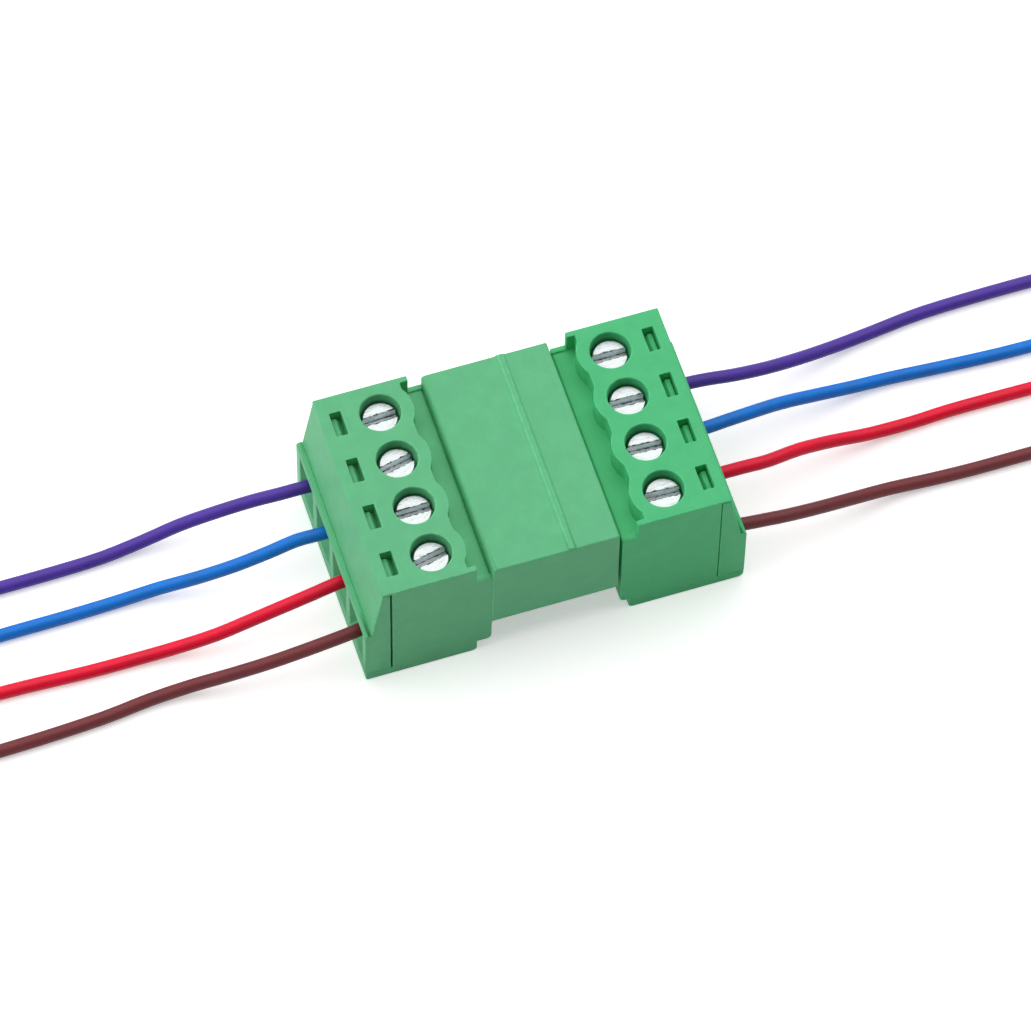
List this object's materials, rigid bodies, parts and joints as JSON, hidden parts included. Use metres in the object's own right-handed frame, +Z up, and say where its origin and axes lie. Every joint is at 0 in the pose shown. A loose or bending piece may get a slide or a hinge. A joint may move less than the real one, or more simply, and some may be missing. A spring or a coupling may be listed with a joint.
{
  "type": "pluggable terminal block",
  "caption": "Mated pair of pluggable screw terminal blocks joining wires end to end, one with a shroud and pins, one with sockets, both with rising-cage clamps.",
  "frame": {"origin": "centre of the mated pair's footprint, on the surface that it lies on", "axes": "+X along the wires from the header half to the plug half, +Y along the row of poles, +Z up towards the screw heads"},
  "size_m": [0.113, 0.0222, 0.0147],
  "materials": {
    "header_plastic": "moulded polyamide, fine satin texture, pale green",
    "plug_plastic": "moulded polyamide, fine satin texture, green",
    "contact_tin": "tin-plated brass strip",
    "cage_steel": "zinc-plated folded steel",
    "screw_zinc": "bright zinc plating with turning marks",
    "copper": "bare copper",
    "wire_purple": "smooth vinyl insulation, violet",
    "wire_blue": "smooth vinyl insulation, blue",
    "wire_red": "smooth vinyl insulation, red",
    "wire_brown": "smooth vinyl insulation, brown"
  },
  "bodies": {
    "header": {"header_housing": "header_plastic", "header_wire_cap": "header_plastic", "header_contact_purple": "contact_tin", "header_contact_blue": "contact_tin", "header_contact_red": "contact_tin", "header_contact_brown": "contact_tin", "header_copper_purple": "copper", "header_copper_blue": "copper", "header_copper_red": "copper", "header_copper_brown": "copper", "header_wire_purple": "wire_purple", "header_wire_blue": "wire_blue", "header_wire_red": "wire_red", "header_wire_brown": "wire_brown"},
    "plug": {"plug_housing": "plug_plastic", "plug_wire_cap": "plug_plastic", "plug_contact_purple": "contact_tin", "plug_contact_blue": "contact_tin", "plug_contact_red": "contact_tin", "plug_contact_brown": "contact_tin", "plug_copper_purple": "copper", "plug_copper_blue": "copper", "plug_copper_red": "copper", "plug_copper_brown": "copper", "plug_wire_purple": "wire_purple", "plug_wire_blue": "wire_blue", "plug_wire_red": "wire_red", "plug_wire_brown": "wire_brown"},
    "header_screw_purple": {"header_screw_purple": "screw_zinc"},
    "header_cage_purple": {"header_cage_purple": "cage_steel"},
    "header_screw_blue": {"header_screw_blue": "screw_zinc"},
    "header_cage_blue": {"header_cage_blue": "cage_steel"},
    "header_screw_red": {"header_screw_red": "screw_zinc"},
    "header_cage_red": {"header_cage_red": "cage_steel"},
    "header_screw_brown": {"header_screw_brown": "screw_zinc"},
    "header_cage_brown": {"header_cage_brown": "cage_steel"},
    "plug_screw_purple": {"plug_screw_purple": "screw_zinc"},
    "plug_cage_purple": {"plug_cage_purple": "cage_steel"},
    "plug_screw_blue": {"plug_screw_blue": "screw_zinc"},
    "plug_cage_blue": {"plug_cage_blue": "cage_steel"},
    "plug_screw_red": {"plug_screw_red": "screw_zinc"},
    "plug_cage_red": {"plug_cage_red": "cage_steel"},
    "plug_screw_brown": {"plug_screw_brown": "screw_zinc"},
    "plug_cage_brown": {"plug_cage_brown": "cage_steel"}
  },
  "joints": [
    {"name": "plug_slide", "type": "slide", "parent": "header", "child": "plug", "axis": [1, 0, 0], "range_m": [0, 0.0105]},
    {"name": "header_screw_turn_purple", "type": "hinge", "parent": "header", "child": "header_screw_purple", "pos_m": [-0.01095, 0.00762, 0.0134], "axis": [0, 0, 1], "range_deg": [0, 1440]},
    {"name": "header_cage_lift_purple", "type": "slide", "parent": "header", "child": "header_cage_purple", "axis": [0, 0, 1], "range_m": [-0.0018, 0]},
    {"name": "header_screw_turn_blue", "type": "hinge", "parent": "header", "child": "header_screw_blue", "pos_m": [-0.01095, 0.00254, 0.0134], "axis": [0, 0, 1], "range_deg": [0, 1440]},
    {"name": "header_cage_lift_blue", "type": "slide", "parent": "header", "child": "header_cage_blue", "axis": [0, 0, 1], "range_m": [-0.0018, 0]},
    {"name": "header_screw_turn_red", "type": "hinge", "parent": "header", "child": "header_screw_red", "pos_m": [-0.01095, -0.00254, 0.0134], "axis": [0, 0, 1], "range_deg": [0, 1440]},
    {"name": "header_cage_lift_red", "type": "slide", "parent": "header", "child": "header_cage_red", "axis": [0, 0, 1], "range_m": [-0.0018, 0]},
    {"name": "header_screw_turn_brown", "type": "hinge", "parent": "header", "child": "header_screw_brown", "pos_m": [-0.01095, -0.00762, 0.0134], "axis": [0, 0, 1], "range_deg": [0, 1440]},
    {"name": "header_cage_lift_brown", "type": "slide", "parent": "header", "child": "header_cage_brown", "axis": [0, 0, 1], "range_m": [-0.0018, 0]},
    {"name": "plug_screw_turn_purple", "type": "hinge", "parent": "plug", "child": "plug_screw_purple", "pos_m": [0.01095, 0.00762, 0.0134], "axis": [0, 0, 1], "range_deg": [0, 1440]},
    {"name": "plug_cage_lift_purple", "type": "slide", "parent": "plug", "child": "plug_cage_purple", "axis": [0, 0, 1], "range_m": [-0.0018, 0]},
    {"name": "plug_screw_turn_blue", "type": "hinge", "parent": "plug", "child": "plug_screw_blue", "pos_m": [0.01095, 0.00254, 0.0134], "axis": [0, 0, 1], "range_deg": [0, 1440]},
    {"name": "plug_cage_lift_blue", "type": "slide", "parent": "plug", "child": "plug_cage_blue", "axis": [0, 0, 1], "range_m": [-0.0018, 0]},
    {"name": "plug_screw_turn_red", "type": "hinge", "parent": "plug", "child": "plug_screw_red", "pos_m": [0.01095, -0.00254, 0.0134], "axis": [0, 0, 1], "range_deg": [0, 1440]},
    {"name": "plug_cage_lift_red", "type": "slide", "parent": "plug", "child": "plug_cage_red", "axis": [0, 0, 1], "range_m": [-0.0018, 0]},
    {"name": "plug_screw_turn_brown", "type": "hinge", "parent": "plug", "child": "plug_screw_brown", "pos_m": [0.01095, -0.00762, 0.0134], "axis": [0, 0, 1], "range_deg": [0, 1440]},
    {"name": "plug_cage_lift_brown", "type": "slide", "parent": "plug", "child": "plug_cage_brown", "axis": [0, 0, 1], "range_m": [-0.0018, 0]}
  ],
  "couplings": [
    {"joint": "header_screw_turn_purple", "follows": "header_cage_lift_purple", "rad_per_m": -13963},
    {"joint": "header_screw_turn_blue", "follows": "header_cage_lift_blue", "rad_per_m": -13963},
    {"joint": "header_screw_turn_red", "follows": "header_cage_lift_red", "rad_per_m": -13963},
    {"joint": "header_screw_turn_brown", "follows": "header_cage_lift_brown", "rad_per_m": -13963},
    {"joint": "plug_screw_turn_purple", "follows": "plug_cage_lift_purple", "rad_per_m": -13963},
    {"joint": "plug_screw_turn_blue", "follows": "plug_cage_lift_blue", "rad_per_m": -13963},
    {"joint": "plug_screw_turn_red", "follows": "plug_cage_lift_red", "rad_per_m": -13963},
    {"joint": "plug_screw_turn_brown", "follows": "plug_cage_lift_brown", "rad_per_m": -13963}
  ]
}
